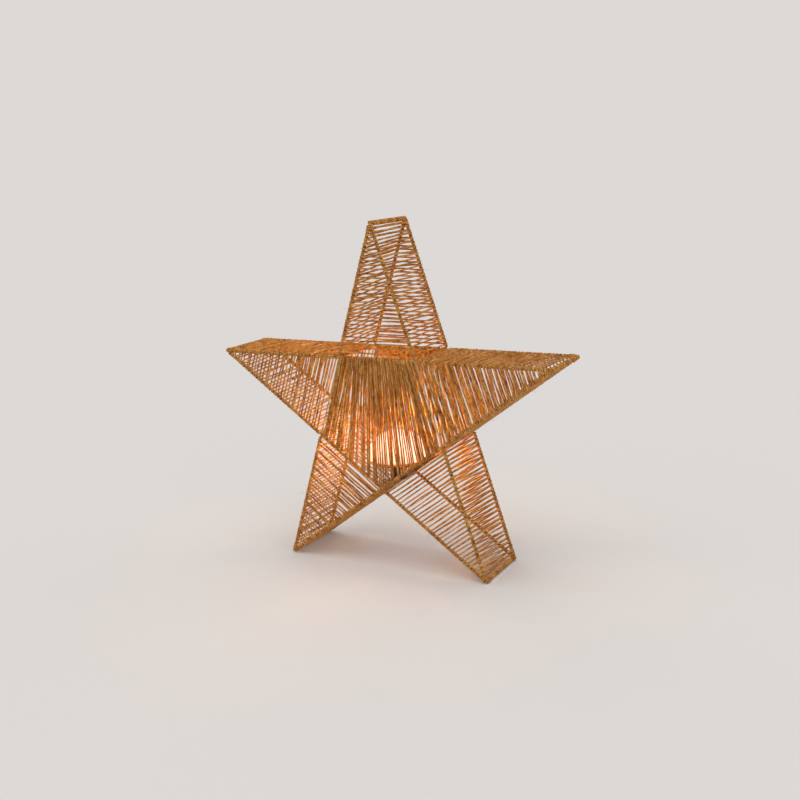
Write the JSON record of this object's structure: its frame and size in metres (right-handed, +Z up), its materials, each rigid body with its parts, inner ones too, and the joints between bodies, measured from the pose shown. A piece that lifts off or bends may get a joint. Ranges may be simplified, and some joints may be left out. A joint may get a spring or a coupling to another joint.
{
  "type": "woven star lantern",
  "caption": "Star lantern of wire wound with jute twine, with a domed lamp inside; stands on its lower tips or hangs by its top bar.",
  "frame": {"origin": "on the floor, midway between the two lower tips, under the middle of the star", "axes": "+Z up, +X to the right seen from the front, +Y from the front star to the back star"},
  "size_m": [0.5576, 0.1138, 0.5306],
  "materials": {
    "jute_twine": "twisted jute twine, golden brown, with loose fibres",
    "wire_steel": "straw-coloured painted steel wire, satin",
    "lamp_housing": "dark grey-brown moulded plastic, matte",
    "frosted_dome": "frosted glass lit from inside, warm white"
  },
  "bodies": {
    "root": {"front_top_long_wire": "wire_steel", "front_top_short_wire": "wire_steel", "front_right_long_wire": "wire_steel", "front_right_short_wire": "wire_steel", "front_lower_right_long_wire": "wire_steel", "front_lower_right_short_wire": "wire_steel", "front_lower_left_long_wire": "wire_steel", "front_lower_left_short_wire": "wire_steel", "front_left_long_wire": "wire_steel", "front_left_short_wire": "wire_steel", "back_top_long_wire": "wire_steel", "back_top_short_wire": "wire_steel", "back_right_long_wire": "wire_steel", "back_right_short_wire": "wire_steel", "back_lower_right_long_wire": "wire_steel", "back_lower_right_short_wire": "wire_steel", "back_lower_left_long_wire": "wire_steel", "back_lower_left_short_wire": "wire_steel", "back_left_long_wire": "wire_steel", "back_left_short_wire": "wire_steel", "upper_right_cross_bar": "wire_steel", "lower_right_cross_bar": "wire_steel", "bottom_cross_bar": "wire_steel", "lower_left_cross_bar": "wire_steel", "upper_left_cross_bar": "wire_steel", "top_tip_bar": "jute_twine", "right_tip_bar": "jute_twine", "lower_right_tip_bar": "jute_twine", "lower_left_tip_bar": "jute_twine", "left_tip_bar": "jute_twine", "top_arm_front_winding": "jute_twine", "top_arm_back_winding": "jute_twine", "top_arm_clockwise_winding": "jute_twine", "top_arm_anticlockwise_winding": "jute_twine", "right_arm_front_winding": "jute_twine", "right_arm_back_winding": "jute_twine", "right_arm_clockwise_winding": "jute_twine", "right_arm_anticlockwise_winding": "jute_twine", "lower_right_arm_front_winding": "jute_twine", "lower_right_arm_back_winding": "jute_twine", "lower_right_arm_clockwise_winding": "jute_twine", "lower_right_arm_anticlockwise_winding": "jute_twine", "lower_left_arm_front_winding": "jute_twine", "lower_left_arm_back_winding": "jute_twine", "lower_left_arm_clockwise_winding": "jute_twine", "lower_left_arm_anticlockwise_winding": "jute_twine", "left_arm_front_winding": "jute_twine", "left_arm_back_winding": "jute_twine", "left_arm_clockwise_winding": "jute_twine", "left_arm_anticlockwise_winding": "jute_twine", "body_front_winding": "jute_twine", "body_back_winding": "jute_twine", "lamp_bracket": "wire_steel", "lamp_base": "lamp_housing", "lamp_dome": "frosted_dome"}
  },
  "joints": []
}
